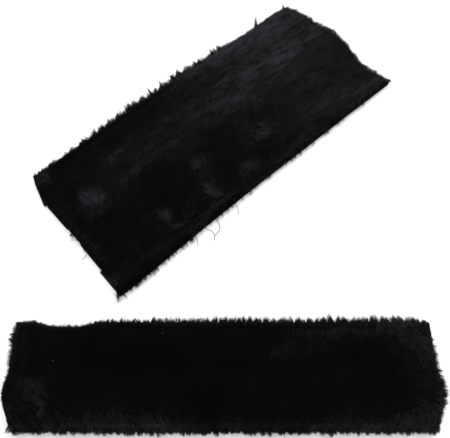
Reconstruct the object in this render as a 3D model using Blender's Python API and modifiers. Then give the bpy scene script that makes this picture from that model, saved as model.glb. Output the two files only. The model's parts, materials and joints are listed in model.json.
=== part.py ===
# Furry windscreen covers for a long shotgun microphone.
# Two identical wrap-around covers of long-pile fur: one is wrapped closed and lies
# in front, the other is laid open behind it with the fur up.
# Each cover is one strip of fur cloth, folded along its middle, with hook tape along
# one long edge and loop tape along the other, and one end hemmed.
# Metres, Z up. X runs along the closed cover, the fold of that cover faces -Y.

import bpy
import bmesh
from math import radians, sin, cos, pi, sqrt
from mathutils import Matrix

# overall sizes of one cover
COVER_LENGTH = 0.430        # along the microphone
HALF_WIDTH = 0.094          # from the fold line to a long edge

# cloth
BACKING = 0.0012            # knitted ground of the fur cloth
PILE = 0.012                # free pile height
PILE_PRESSED = 0.006        # pile under the closed cover's own weight
PILE_ROUND = 0.010          # how far in from an edge the pile reaches full height
PILE_EDGE = 0.003           # pile height right at the fold and at the long edge

# hook tape and loop tape
TAPE_WIDTH = 0.038
TAPE_BASE = 0.0008          # woven base
TAPE_FIELD = 0.0012         # hooks or loops standing on the base
SELVEDGE = 0.003            # bare woven border of a tape
TAPE_INSET = 0.0010         # tape edge to the cloth's long edge
TAPE_TAB = 0.0045           # tape past the hemmed end
TAPE_SHORT = 0.0020         # tape short of the raw end

# hem at the left end
HEM_DEPTH = 0.014           # cloth turned under
HEM_BACK = 0.0010           # its thickness, pressed flat
HEM_FROM_FOLD = 0.013       # hem stays clear of the fold
HEM_FROM_TAPE = 0.0015      # and of the tape's inner edge
HEM_FROM_END = 0.0005

# sewing thread
THREAD = 0.0005

# closed cover
CROWN = 0.012               # rise of the upper half over the channel

# placing on the surface
OPEN_ANGLE = radians(41.2)  # long axis of the open cover from X
OPEN_SHIFT_X = -0.008       # middle of the open cover from the middle of the closed one
COVERS_APART = 0.042        # closed cover's long edge to the open cover's nearest corner

CLEAR = 0.0003              # between pieces that touch
FOLD_GAP = CLEAR / 2        # each half stays this far from the fold plane

# derived levels of the open cover, fur up, tapes on the surface
TAPE_THICK = TAPE_BASE + TAPE_FIELD
HEM_STACK = HEM_BACK + CLEAR + THREAD          # hem and the stitches on it
OPEN_BACKING_Z = max(TAPE_THICK, HEM_STACK) + CLEAR
OPEN_TAPE_BASE_Z = OPEN_BACKING_Z - CLEAR - TAPE_BASE
OPEN_PILE_Z = OPEN_BACKING_Z + BACKING + CLEAR
OPEN_AXIS_Z = -CLEAR / 2

# derived levels of the closed cover
LOW_BACKING_Z = PILE_PRESSED + CLEAR
LOW_BACKING_TOP = LOW_BACKING_Z + BACKING
LOOP_Z = LOW_BACKING_TOP + CLEAR
INSIDE = 2 * max(TAPE_THICK, HEM_STACK) + CLEAR   # the two tapes, or the two hems, face to face
UP_BACKING_Z = LOOP_Z + INSIDE + CLEAR
HOOK_BASE_Z = UP_BACKING_Z - CLEAR - TAPE_BASE
CLOSED_AXIS_Z = LOW_BACKING_TOP + CLEAR / 2
UP_FOLD_Z = LOW_BACKING_TOP + CLEAR

TAPE_OUT = HALF_WIDTH - TAPE_INSET
TAPE_IN = TAPE_OUT - TAPE_WIDTH
TAPE_LENGTH = COVER_LENGTH + TAPE_TAB - TAPE_SHORT
TAPE_MID_X = -(TAPE_TAB + TAPE_SHORT) / 2
CHANNEL = TAPE_IN
HEM_X = -COVER_LENGTH / 2 + HEM_FROM_END + HEM_DEPTH / 2
HEM_OUT = TAPE_IN - HEM_FROM_TAPE

# the fold line of the closed cover is at Y 0 until the whole set is centred
OPEN_REACH_Y = COVER_LENGTH / 2 * sin(OPEN_ANGLE) + HALF_WIDTH * cos(OPEN_ANGLE)
OPEN_Y = HALF_WIDTH + COVERS_APART + OPEN_REACH_Y

STEPS = 22                  # profile points across the channel


def clearScene():
    for obj in list(bpy.data.objects):
        bpy.data.objects.remove(obj, do_unlink=True)


def makeMaterial(name, color, rough, sheen=0.0):
    mat = bpy.data.materials.new(name)
    mat.use_nodes = True
    bsdf = mat.node_tree.nodes["Principled BSDF"]
    bsdf.inputs["Base Color"].default_value = (color[0], color[1], color[2], 1.0)
    bsdf.inputs["Roughness"].default_value = rough
    bsdf.inputs["Metallic"].default_value = 0.0
    bsdf.inputs["Sheen Weight"].default_value = sheen
    mat.diffuse_color = (color[0], color[1], color[2], 1.0)
    return mat


clearScene()
partColl = bpy.data.collections.new("furry_windscreen")
bpy.context.scene.collection.children.link(partColl)

furMat = makeMaterial("fur_pile", (0.006, 0.0065, 0.008), 0.75, 0.3)
knitMat = makeMaterial("knit_backing", (0.012, 0.012, 0.013), 0.9)
hookMat = makeMaterial("hook_tape", (0.010, 0.010, 0.011), 0.45)
loopMat = makeMaterial("loop_tape", (0.013, 0.013, 0.014), 0.95)
threadMat = makeMaterial("thread", (0.009, 0.009, 0.010), 0.6)


def makeEmpty(name, loc, rotZ=0.0, parent=None):
    obj = bpy.data.objects.new(name, None)
    obj.empty_display_size = 0.03
    obj.location = loc
    obj.rotation_euler = (0.0, 0.0, rotZ)
    obj.parent = parent
    partColl.objects.link(obj)
    return obj


def place(obj, name, mat, parent, loc):
    obj.name = name
    obj.data.name = name
    obj.data.materials.clear()
    obj.data.materials.append(mat)
    for coll in list(obj.users_collection):
        coll.objects.unlink(obj)
    partColl.objects.link(obj)
    obj.parent = parent
    obj.location = loc


def boxMesh(name, size):
    mesh = bpy.data.meshes.new(name)
    bm = bmesh.new()
    bmesh.ops.create_cube(bm, size=1.0, matrix=Matrix.Diagonal((size[0], size[1], size[2], 1.0)))
    return mesh, bm


def addSlab(name, mat, parent, x0, x1, y0, y1, z0, z1):
    # a flat layer of cloth, origin at its middle
    mesh, bm = boxMesh(name, (x1 - x0, y1 - y0, z1 - z0))
    bm.to_mesh(mesh)
    bm.free()
    obj = bpy.data.objects.new(name, mesh)
    place(obj, name, mat, parent, ((x0 + x1) / 2, (y0 + y1) / 2, (z0 + z1) / 2))
    return obj


def addPileSlab(name, mat, parent, x0, x1, y0, y1, z0, z1, side):
    # a flat layer of pile, rounded along its free edges but not along the fold
    mesh, bm = boxMesh(name, (x1 - x0, y1 - y0, z1 - z0))
    weight = bm.edges.layers.float.new("bevel_weight_edge")
    for edge in bm.edges:
        a, b = edge.verts[0].co, edge.verts[1].co
        onTop = a.z > 0 and b.z > 0
        alongFree = a.y * side > 0 and b.y * side > 0
        acrossEnd = a.x * b.x > 0 and abs(a.y - b.y) > 1e-6
        if onTop and (alongFree or acrossEnd):
            edge[weight] = 1.0
    bm.to_mesh(mesh)
    bm.free()
    obj = bpy.data.objects.new(name, mesh)
    place(obj, name, mat, parent, ((x0 + x1) / 2, (y0 + y1) / 2, (z0 + z1) / 2))
    bev = obj.modifiers.new("rounded edges", "BEVEL")
    bev.limit_method = "WEIGHT"
    bev.width = min(PILE_ROUND, (z1 - z0) * 0.8)
    bev.segments = 4
    return obj


def addTape(name, mat, parent, y0, y1, zBase, up):
    # woven base with the hook or loop field raised on one face
    length = TAPE_LENGTH
    mesh, bm = boxMesh(name, (length, y1 - y0, TAPE_BASE))
    bm.faces.ensure_lookup_table()
    face = [f for f in bm.faces if f.normal.z * up > 0.5][0]
    bmesh.ops.inset_region(bm, faces=[face], thickness=SELVEDGE, use_even_offset=True)
    res = bmesh.ops.extrude_face_region(bm, geom=[face])
    verts = [g for g in res["geom"] if isinstance(g, bmesh.types.BMVert)]
    bmesh.ops.translate(bm, verts=verts, vec=(0.0, 0.0, up * TAPE_FIELD))
    inner = [f for f in bm.faces if f.is_valid and f == face]
    if inner:
        bmesh.ops.delete(bm, geom=inner, context="FACES_ONLY")
    bmesh.ops.recalc_face_normals(bm, faces=bm.faces)
    bm.to_mesh(mesh)
    bm.free()
    obj = bpy.data.objects.new(name, mesh)
    place(obj, name, mat, parent, (TAPE_MID_X, (y0 + y1) / 2, zBase + TAPE_BASE / 2))
    return obj


def addSection(name, mat, parent, x0, x1, outline):
    # a constant cross-section (y, z) drawn out along X
    curve = bpy.data.curves.new(name, "CURVE")
    curve.dimensions = "2D"
    curve.fill_mode = "BOTH"
    curve.extrude = (x1 - x0) / 2
    spline = curve.splines.new("POLY")
    spline.points.add(len(outline) - 1)
    for point, (y, z) in zip(spline.points, outline):
        point.co = (y, z, 0.0, 1.0)
    spline.use_cyclic_u = True
    obj = bpy.data.objects.new(name, curve)
    place(obj, name, mat, parent, ((x0 + x1) / 2, 0.0, 0.0))
    obj.rotation_euler = (pi / 2, 0.0, pi / 2)
    return obj


def addThread(name, mat, parent, points, cyclic):
    curve = bpy.data.curves.new(name, "CURVE")
    curve.dimensions = "3D"
    curve.bevel_depth = THREAD / 2
    curve.bevel_resolution = 2
    curve.use_fill_caps = not cyclic
    spline = curve.splines.new("POLY")
    spline.points.add(len(points) - 1)
    for point, co in zip(spline.points, points):
        point.co = (co[0], co[1], co[2], 1.0)
    spline.use_cyclic_u = cyclic
    obj = bpy.data.objects.new(name, curve)
    place(obj, name, mat, parent, (0.0, 0.0, 0.0))
    return obj


def tapeSeam(y0, y1, z):
    # one line of stitches round the selvedge, with cut corners
    m = SELVEDGE / 2
    c = SELVEDGE / 3
    xa = TAPE_MID_X - TAPE_LENGTH / 2 + m
    xb = TAPE_MID_X + TAPE_LENGTH / 2 - m
    ya = y0 + m
    yb = y1 - m
    return [(xa + c, ya, z), (0.0, ya, z), (xb - c, ya, z), (xb, ya + c, z), (xb, yb - c, z),
            (xb - c, yb, z), (0.0, yb, z), (xa + c, yb, z), (xa, yb - c, z), (xa, ya + c, z)]


def smooth(t):
    t = min(max(t, 0.0), 1.0)
    return t * t * (3 - 2 * t)


def archZ(n):
    # underside of the closed cover's upper half, n from the fold
    if n >= CHANNEL:
        return UP_BACKING_Z
    t = n / CHANNEL
    return UP_FOLD_Z + (UP_BACKING_Z - UP_FOLD_Z) * smooth(t) + CROWN * sin(pi * t) ** 2


def pileHeight(n):
    # pile is short at the fold and at the long edge and full between them
    t = min(n / PILE_ROUND, (HALF_WIDTH - n) / PILE_ROUND, 1.0)
    t = max(t, 0.0)
    return PILE_EDGE + (PILE - PILE_EDGE) * sqrt(1 - (1 - t) ** 2)


def spread(a, b, count):
    return [a + (b - a) * i / count for i in range(count + 1)]


def shifted(points, offset):
    return [(y - offset[1], z - offset[2]) for y, z in points]


halfL = COVER_LENGTH / 2

# ---------------------------------------------------------------- closed cover
closedRoot = makeEmpty("closed_cover", (0.0, 0.0, 0.0))
closedAxis = makeEmpty("closed_cover_fold_axis", (0.0, 0.0, CLOSED_AXIS_Z), 0.0, closedRoot)

addSlab("closed_lower_backing", knitMat, closedRoot, -halfL, halfL, FOLD_GAP, HALF_WIDTH,
        LOW_BACKING_Z, LOW_BACKING_TOP)
addSlab("closed_lower_pile", furMat, closedRoot, -halfL, halfL, FOLD_GAP, HALF_WIDTH,
        0.0, PILE_PRESSED)
addTape("closed_loop_tape", loopMat, closedRoot, TAPE_IN, TAPE_OUT, LOOP_Z, 1)
addThread("closed_loop_tape_seam", threadMat, closedRoot,
          tapeSeam(TAPE_IN, TAPE_OUT, LOOP_Z + TAPE_BASE + CLEAR + THREAD / 2), True)
addSlab("closed_lower_hem", knitMat, closedRoot, HEM_X - HEM_DEPTH / 2, HEM_X + HEM_DEPTH / 2,
        HEM_FROM_FOLD, HEM_OUT, LOOP_Z, LOOP_Z + HEM_BACK)
lowStitchZ = LOOP_Z + HEM_BACK + CLEAR + THREAD / 2
addThread("closed_lower_hem_seam", threadMat, closedRoot,
          [(HEM_X, y, lowStitchZ) for y in spread(HEM_FROM_FOLD + 0.001, HEM_OUT - 0.001, 2)], False)

# the upper half hangs on the fold axis, so its points are given from that axis
axis = (0.0, 0.0, CLOSED_AXIS_Z)
channelN = spread(FOLD_GAP, CHANNEL, STEPS)
roundN = [n for n in spread(HALF_WIDTH - PILE_ROUND, HALF_WIDTH, 8)]

under = [(n, archZ(n)) for n in channelN] + [(HALF_WIDTH, UP_BACKING_Z)]
over = [(n, archZ(n) + BACKING) for n in channelN] + [(HALF_WIDTH, UP_BACKING_Z + BACKING)]
addSection("closed_upper_backing", knitMat, closedAxis, -halfL, halfL,
           shifted(under + over[::-1], axis))

pileN = sorted(set(channelN + roundN + [FOLD_GAP + PILE_ROUND * k / 6 for k in range(1, 6)]))
pileUnder = [(n, archZ(n) + BACKING + CLEAR) for n in pileN]
pileOver = [(n, archZ(n) + BACKING + CLEAR + pileHeight(n)) for n in pileN]
addSection("closed_upper_pile", furMat, closedAxis, -halfL, halfL,
           shifted(pileUnder + pileOver[::-1], axis))

addTape("closed_hook_tape", hookMat, closedAxis, TAPE_IN, TAPE_OUT,
        HOOK_BASE_Z - CLOSED_AXIS_Z, -1)
addThread("closed_hook_tape_seam", threadMat, closedAxis,
          tapeSeam(TAPE_IN, TAPE_OUT, HOOK_BASE_Z - CLEAR - THREAD / 2 - CLOSED_AXIS_Z), True)

hemN = spread(HEM_FROM_FOLD, HEM_OUT, 14)
hemOver = [(n, archZ(n) - CLEAR) for n in hemN]
hemUnder = [(n, archZ(n) - CLEAR - HEM_BACK) for n in hemN]
addSection("closed_upper_hem", knitMat, closedAxis, HEM_X - HEM_DEPTH / 2, HEM_X + HEM_DEPTH / 2,
           shifted(hemUnder + hemOver[::-1], axis))
hemSeamN = spread(HEM_FROM_FOLD + 0.001, HEM_OUT - 0.001, 14)
addThread("closed_upper_hem_seam", threadMat, closedAxis,
          [(HEM_X, n, archZ(n) - CLEAR - HEM_STACK + THREAD / 2 - CLOSED_AXIS_Z)
           for n in hemSeamN], False)

# ------------------------------------------------------------------ open cover
openRoot = makeEmpty("open_cover", (OPEN_SHIFT_X, OPEN_Y, 0.0), OPEN_ANGLE)
openAxis = makeEmpty("open_cover_fold_axis", (0.0, 0.0, OPEN_AXIS_Z), 0.0, openRoot)

for side, half, parent, drop in ((-1, "near", openRoot, 0.0), (1, "far", openAxis, OPEN_AXIS_Z)):
    y0, y1 = sorted((side * FOLD_GAP, side * HALF_WIDTH))
    addSlab("open_" + half + "_backing", knitMat, parent, -halfL, halfL, y0, y1,
            OPEN_BACKING_Z - drop, OPEN_BACKING_Z + BACKING - drop)
    addPileSlab("open_" + half + "_pile", furMat, parent, -halfL, halfL, y0, y1,
                OPEN_PILE_Z - drop, OPEN_PILE_Z + PILE - drop, side)
    kind, mat = ("hook", hookMat) if side < 0 else ("loop", loopMat)
    t0, t1 = sorted((side * TAPE_IN, side * TAPE_OUT))
    addTape("open_" + kind + "_tape", mat, parent, t0, t1, OPEN_TAPE_BASE_Z - drop, -1)
    addThread("open_" + kind + "_tape_seam", threadMat, parent,
              tapeSeam(t0, t1, OPEN_TAPE_BASE_Z - CLEAR - THREAD / 2 - drop), True)
    h0, h1 = sorted((side * HEM_FROM_FOLD, side * HEM_OUT))
    hemZ = OPEN_BACKING_Z - CLEAR - HEM_BACK
    addSlab("open_" + half + "_hem", knitMat, parent, HEM_X - HEM_DEPTH / 2, HEM_X + HEM_DEPTH / 2,
            h0, h1, hemZ - drop, hemZ + HEM_BACK - drop)
    addThread("open_" + half + "_hem_seam", threadMat, parent,
              [(HEM_X, y, hemZ - CLEAR - THREAD / 2 - drop) for y in spread(h0 + 0.001, h1 - 0.001, 2)],
              False)

# ------------------------------------------------- put the middle of the set on the origin
bpy.context.view_layer.update()
low = [1e9, 1e9]
high = [-1e9, -1e9]
for obj in partColl.objects:
    if obj.type == "EMPTY":
        continue
    for corner in obj.bound_box:
        point = obj.matrix_world @ Matrix.Translation(corner).translation
        for k in (0, 1):
            low[k] = min(low[k], point[k])
            high[k] = max(high[k], point[k])
for root in (closedRoot, openRoot):
    root.location.x -= (low[0] + high[0]) / 2
    root.location.y -= (low[1] + high[1]) / 2
bpy.context.view_layer.update()
print("set centred, low", low, "high", high)
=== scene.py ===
import bpy
import bmesh
import json
import math
import numpy as np
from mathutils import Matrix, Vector

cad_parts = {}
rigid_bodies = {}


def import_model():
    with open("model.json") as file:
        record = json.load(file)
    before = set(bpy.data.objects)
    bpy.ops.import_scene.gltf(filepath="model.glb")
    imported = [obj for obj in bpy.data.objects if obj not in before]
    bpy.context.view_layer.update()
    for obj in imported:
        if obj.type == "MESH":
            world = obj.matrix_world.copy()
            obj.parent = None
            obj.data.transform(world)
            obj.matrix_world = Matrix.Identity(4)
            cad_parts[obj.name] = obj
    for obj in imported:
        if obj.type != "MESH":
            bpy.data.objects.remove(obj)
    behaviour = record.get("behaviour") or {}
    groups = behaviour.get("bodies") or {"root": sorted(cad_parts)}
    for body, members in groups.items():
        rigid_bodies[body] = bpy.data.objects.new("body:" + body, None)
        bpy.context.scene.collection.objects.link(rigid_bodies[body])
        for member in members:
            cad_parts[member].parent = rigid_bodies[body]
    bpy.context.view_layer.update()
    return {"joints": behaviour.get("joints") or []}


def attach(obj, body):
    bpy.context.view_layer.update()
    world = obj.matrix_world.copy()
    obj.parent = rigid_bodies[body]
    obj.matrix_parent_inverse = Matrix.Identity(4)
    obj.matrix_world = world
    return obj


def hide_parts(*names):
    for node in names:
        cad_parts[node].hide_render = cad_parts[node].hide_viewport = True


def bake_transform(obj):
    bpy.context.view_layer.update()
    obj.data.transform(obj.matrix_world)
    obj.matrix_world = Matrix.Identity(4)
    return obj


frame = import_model()
scene = bpy.context.scene
mm = 0.001
print("frame loaded")


# ---- small helpers

def hexColor(text):
    # sRGB hex to the linear colour the sockets want
    out = []
    for i in (0, 2, 4):
        c = int(text[i:i + 2], 16) / 255
        out.append(c / 12.92 if c <= 0.04045 else ((c + 0.055) / 1.055) ** 2.4)
    return (out[0], out[1], out[2], 1.0)


def addNode(mat, kind, inputs=None, **settings):
    node = mat.node_tree.nodes.new(kind)
    for key, value in settings.items():
        setattr(node, key, value)
    for key, value in (inputs or {}).items():
        if isinstance(value, bpy.types.NodeSocket):
            mat.node_tree.links.new(value, node.inputs[key])
        else:
            node.inputs[key].default_value = value
    return node


def newMaterial(name):
    mat = bpy.data.materials.new(name)
    mat.use_nodes = True
    return mat, mat.node_tree.nodes["Principled BSDF"]


def nothingSelected():
    if bpy.context.object and bpy.context.object.mode != "OBJECT":
        bpy.ops.object.mode_set(mode="OBJECT")
    bpy.ops.object.select_all(action="DESELECT")


def clamp(value):
    return np.clip(value, 0, 1)


def towards(value, goal, share):
    return value + (goal - value) * share


def belongs(obj, ride, slot, *nodes):
    # ride is a body's name, which the piece is attached to, or (body, body, start, end) where a fold runs
    # through the piece, which then stays fixed where it is
    if isinstance(ride, str):
        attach(obj, ride)
    else:
        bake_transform(obj)
    if nodes:
        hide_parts(*nodes)


# ---- the two covers, each in its own along / across / up directions

joints = {j["name"]: j for j in frame["joints"]}


class Cover:
    def __init__(self, fold, along):
        self.origin = np.array([fold[0], fold[1], 0.0])
        self.along = np.array([along[0], along[1], 0.0]) / math.hypot(along[0], along[1])
        self.across = np.array([-self.along[1], self.along[0], 0.0])

    def turn(self, a, n, z):
        # a runs along the cover, n across it, z up
        a, n, z = np.broadcast_arrays(*(np.asarray(v, float) for v in (a, n, z)))
        return a[..., None] * self.along + n[..., None] * self.across + z[..., None] * np.array([0, 0, 1.0])

    def place(self, a, n, z):
        # the same from the middle of the fold
        return self.origin + self.turn(a, n, z)


openAxis = joints["open_cover_fold"]["axis"]
openCover = Cover(joints["open_cover_fold"]["pos_m"], (-openAxis[0], -openAxis[1]))
closedCover = Cover(joints["closed_cover_fold"]["pos_m"], joints["closed_cover_fold"]["axis"])
foldZ = joints["closed_cover_fold"]["pos_m"][2]


# ---- camera, floor and light

view = {"lens": 48.0, "up": 63.3, "away": 0.699, "lookAt": (0.0114, -0.0504, 0.0)}
camData = bpy.data.cameras.new("camera")
camData.lens = view["lens"]
camData.sensor_width = 36
camData.clip_start = 0.01
cam = bpy.data.objects.new("camera", camData)
scene.collection.objects.link(cam)
up = math.radians(view["up"])
cam.location = Vector(view["lookAt"]) + view["away"] * Vector((0, -math.cos(up), math.sin(up)))
cam.rotation_euler = (math.radians(90) - up, 0, 0)
scene.camera = cam

nothingSelected()
bpy.ops.mesh.primitive_plane_add(size=12, location=(0, 0, 0))
floor = bpy.context.object
floor.name = "floor"
floorMat, bsdf = newMaterial("white paper sweep")
bsdf.inputs["Base Color"].default_value = hexColor("fbfbfb")
bsdf.inputs["Roughness"].default_value = 1.0
bsdf.inputs["Specular IOR Level"].default_value = 0.0
floor.data.materials.append(floorMat)

studio = {"room": 1.0, "top": 9.0, "topSize": 1.1, "back": 7.0, "backSize": 0.8}
world = bpy.data.worlds.new("studio room")
world.use_nodes = True
world.node_tree.nodes["Background"].inputs["Color"].default_value = (1, 1, 1, 1)
world.node_tree.nodes["Background"].inputs["Strength"].default_value = studio["room"]
scene.world = world
scene.view_settings.view_transform = "Standard"


def addSoftbox(name, power, size, place, target):
    light = bpy.data.lights.new(name, "AREA")
    light.energy = power
    light.shape = "SQUARE"
    light.size = size
    obj = bpy.data.objects.new(name, light)
    scene.collection.objects.link(obj)
    obj.location = place
    obj.rotation_euler = (Vector(target) - Vector(place)).to_track_quat("-Z", "Y").to_euler()


addSoftbox("top softbox", studio["top"], studio["topSize"], (-0.1, 0.1, 1.6), (0, 0, 0))
addSoftbox("back softbox", studio["back"], studio["backSize"], (0.7, 1.2, 0.9), (0.1, 0.1, 0))
print("camera and light placed")


# ---- fibre: modacrylic fur fibre, spin-dyed black, silky, round in section.
# Its colour steps are painted light: the darker root steps are painted shade deep in the pile, and the
# lighter, cool grey tip steps are painted sheen, dealt to hairs that lie flat. One fibre is one colour,
# so the steps are separate plain materials, dealt out fibre by fibre;
# the last tip shade is a bluish black that only shows in one patch.

fibre = {"root": ["040404", "060606", "080808"],
         "tip": ["060606", "080808", "0b0b0c", "0f0f11", "151519", "1e1f26", "2b2c37", "1b1f2c"],
         "rootRough": 0.7, "tipRough": 0.52, "rootShine": 0.04, "tipShine": 0.05, "shineStep": 0.035}
bluish = 1.01                                            # a shade past 1 is dealt the last tip shade
fibreMats = []
for part in ("root", "tip"):
    for i, shade in enumerate(fibre[part]):
        mat, bsdf = newMaterial("modacrylic fibre " + part + " " + str(i + 1))
        bsdf.inputs["Base Color"].default_value = hexColor(shade)
        bsdf.inputs["Roughness"].default_value = fibre[part + "Rough"]
        bsdf.inputs["IOR"].default_value = 1.5
        shine = fibre["tipShine"] + fibre["shineStep"] * min(i, 6)
        bsdf.inputs["Specular IOR Level"].default_value = fibre["rootShine"] if part == "root" else shine
        fibreMats.append(mat)


# ---- small things modelled once, then copied many times

def smallModel(obj):
    # keeps a small modelled thing as points and triangles
    nothingSelected()
    obj.select_set(True)
    bpy.context.view_layer.objects.active = obj
    bpy.ops.object.mode_set(mode="EDIT")
    bpy.ops.mesh.select_all(action="SELECT")
    bpy.ops.mesh.normals_make_consistent(inside=False)
    bpy.ops.mesh.quads_convert_to_tris()
    bpy.ops.object.mode_set(mode="OBJECT")
    points = np.array([v.co[:] for v in obj.data.vertices])
    faces = np.array([p.vertices[:] for p in obj.data.polygons])
    bpy.data.objects.remove(obj)
    return points, faces


def startFilament(radius):
    # the three-sided foot of a fibre, ready to be pulled up
    nothingSelected()
    bpy.ops.mesh.primitive_circle_add(vertices=3, radius=radius, fill_type="NGON", location=(0, 0, 0))
    bpy.ops.object.mode_set(mode="EDIT")
    bpy.ops.mesh.select_all(action="SELECT")


def pull(step):
    bpy.ops.mesh.extrude_region_move(TRANSFORM_OT_translate={"value": step})


def copies(name, points, faces):
    # one object of many copies of a small model; points has a row for each copy
    count, each = points.shape[:2]
    corners = (faces[None] + (np.arange(count) * each)[:, None, None]).reshape(-1)
    triangles = len(corners) // 3
    mesh = bpy.data.meshes.new(name)
    mesh.vertices.add(count * each)
    mesh.vertices.foreach_set("co", points.reshape(-1).astype(np.float32))
    mesh.loops.add(len(corners))
    mesh.loops.foreach_set("vertex_index", corners.astype(np.int32))
    mesh.polygons.add(triangles)
    mesh.polygons.foreach_set("loop_start", (np.arange(triangles) * 3).astype(np.int32))
    mesh.polygons.foreach_set("loop_total", np.full(triangles, 3, np.int32))
    mesh.polygons.foreach_set("use_smooth", np.ones(triangles, bool))
    mesh.update(calc_edges=True)
    obj = bpy.data.objects.new(name, mesh)
    scene.collection.objects.link(obj)
    return obj


def plant(name, model, at, x, y, z, mat):
    # one copy of the small model at each place, its three directions given
    points, faces = model
    turned = points[None, :, 0, None] * x[:, None, :] + points[None, :, 1, None] * y[:, None, :]
    turned = turned + points[None, :, 2, None] * z[:, None, :]
    obj = copies(name, at[:, None, :] + turned, faces)
    obj.data.materials.append(mat)
    return obj


# ---- hair

def makeHair(rings):
    # a three-sided spike, thinner towards the tip, closed at both ends
    startFilament(1)
    for ring in range(rings):
        pull((0, 0, 1 / (rings + 1)))
        bpy.ops.transform.resize(value=(0.8, 0.8, 1))
    pull((0, 0, 1 / (rings + 1)))
    bpy.ops.mesh.merge(type="CENTER")
    return smallModel(bpy.context.object)


hairs = {"straight": makeHair(0), "bent": makeHair(1)}
most = {"straight": 48000, "bent": 19500}                # hairs in one piece, so that none is too heavy


def growFur(name, ride, strands, kind="bent"):
    # bends a copy of the hair from each root over its control point to its tip
    root, control, tip, width, shade = strands
    hairPoints, hairFaces = hairs[kind]
    t = hairPoints[:, 2][None, :, None]
    r, c, e = root[:, None, :], control[:, None, :], tip[:, None, :]
    if kind == "straight":
        c = (r + e) / 2
    spine = r * (1 - t) ** 2 + 2 * c * t * (1 - t) + e * t ** 2
    tangent = 2 * (c - r) * (1 - t) + 2 * (e - c) * t
    tangent /= np.linalg.norm(tangent, axis=2, keepdims=True) + 1e-9
    rng = np.random.default_rng(len(root))
    sideA = np.cross(tangent, rng.normal(size=(len(root), 1, 3)))
    sideA /= np.linalg.norm(sideA, axis=2, keepdims=True) + 1e-9
    sideB = np.cross(tangent, sideA)
    w = width[:, None, None] / 2
    ring = sideA * hairPoints[:, 0][None, :, None] + sideB * hairPoints[:, 1][None, :, None]
    obj = copies(name, spine + w * ring, hairFaces)
    for mat in fibreMats:
        obj.data.materials.append(mat)
    # each hair's root end takes a dark root step, painted shade deep in the pile; its tip end takes a step that
    # is lighter the higher its shade, painted sheen
    rootSteps, tipSteps = len(fibre["root"]), len(fibre["tip"]) - 1
    low = np.clip((shade * rootSteps).astype(int), 0, rootSteps - 1)
    high = rootSteps + np.clip((shade * tipSteps).astype(int), 0, tipSteps)
    reachesTip = hairPoints[hairFaces][:, :, 2].max(axis=1) > 0.9
    index = np.where(reachesTip[None, :], high[:, None], low[:, None])
    obj.data.polygons.foreach_set("material_index", index.reshape(-1).astype(np.int32))
    obj.data.update()
    belongs(obj, ride, "fur_pile")


def growInPieces(name, ride, strands, kind="bent"):
    # split along the cover
    cover = openCover if name.startswith("open") else closedCover
    pieces = max(1, math.ceil(len(strands[0]) / most[kind]))
    order = np.argsort(strands[0] @ cover.along, kind="stable")
    for k, part in enumerate(np.array_split(order, pieces)):
        growFur(name + "_" + str(k + 1), ride, [s[part] for s in strands], kind)


def hairWidths(rng, width, count):
    return mm * width * (0.8 + 0.4 * rng.random(count))


def hairShades(rng, shade, spread):
    return np.clip(shade + rng.normal(0, spread, len(shade)), 0, 0.999)


# ---- where hairs gather: scattered roots, and the nearest tuft centre to each

def scatter(a0, a1, n0, n1, spacing, seed):
    # one jittered point in each cell of a grid
    rng = np.random.default_rng(seed)
    a, n = np.meshgrid(np.arange(a0, a1, spacing), np.arange(n0, n1, spacing))
    a = a + rng.random(a.shape) * spacing
    n = n + rng.random(n.shape) * spacing
    return a.ravel(), n.ravel()


def nearestTuft(a, n, size, seed):
    # tuft centre and three fixed random numbers for each root
    rng = np.random.default_rng(seed)
    low = -0.3
    cells = int(0.6 / size) + 4
    ja, jn = rng.random((cells, cells)), rng.random((cells, cells))
    dice = rng.random((cells, cells, 3))
    i, j = ((a - low) / size).astype(int), ((n - low) / size).astype(int)
    best = np.full(a.shape, 1e9)
    ca, cn, cd = np.zeros(a.shape), np.zeros(a.shape), np.zeros(a.shape + (3,))
    for di in (-1, 0, 1):
        for dj in (-1, 0, 1):
            ii, jj = np.clip(i + di, 0, cells - 1), np.clip(j + dj, 0, cells - 1)
            pa, pn = low + (ii + ja[ii, jj]) * size, low + (jj + jn[ii, jj]) * size
            d = (pa - a) ** 2 + (pn - n) ** 2
            closer = d < best
            best = np.where(closer, d, best)
            ca, cn = np.where(closer, pa, ca), np.where(closer, pn, cn)
            cd = np.where(closer[..., None], dice[ii, jj], cd)
    return ca, cn, cd.T


def softNoise(a, n, size, seed):
    # smooth hills between -1 and 1
    rng = np.random.default_rng(seed)
    cells = int(0.7 / size) + 4
    grid = rng.random((cells, cells)) * 2 - 1
    x, y = (a + 0.32) / size, (n + 0.32) / size
    i, j = np.floor(x).astype(int), np.floor(y).astype(int)
    fx, fy = x - i, y - j
    fx, fy = fx * fx * (3 - 2 * fx), fy * fy * (3 - 2 * fy)
    i, j = np.clip(i, 0, cells - 2), np.clip(j, 0, cells - 2)
    return (grid[i, j] * (1 - fx) * (1 - fy) + grid[i + 1, j] * fx * (1 - fy)
            + grid[i, j + 1] * (1 - fx) * fy + grid[i + 1, j + 1] * fx * fy)


# ---- fields given as lists, in millimetres along and across a cover

def spots(a, n, places):
    # adds up soft uneven spots: along, across, half length, half width, amount
    total = np.zeros(np.shape(a))
    x = a / mm + 5.0 * softNoise(a, n, 0.016, 91) + 2.5 * softNoise(a, n, 0.006, 92)
    y = n / mm + 4.0 * softNoise(a, n, 0.016, 93) + 2.5 * softNoise(a, n, 0.006, 94)
    for sa, sn, ra, rn, amount in places:
        d2 = ((x - sa) / ra) ** 2 + ((y - sn) / rn) ** 2
        total += amount * np.exp(-d2 ** 1.3)
    return total


def along(pairs, value):
    # reads a line drawn through listed (where, value) pairs
    pts = np.array(pairs) * mm
    return np.interp(value, pts[:, 0], pts[:, 1])


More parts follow.
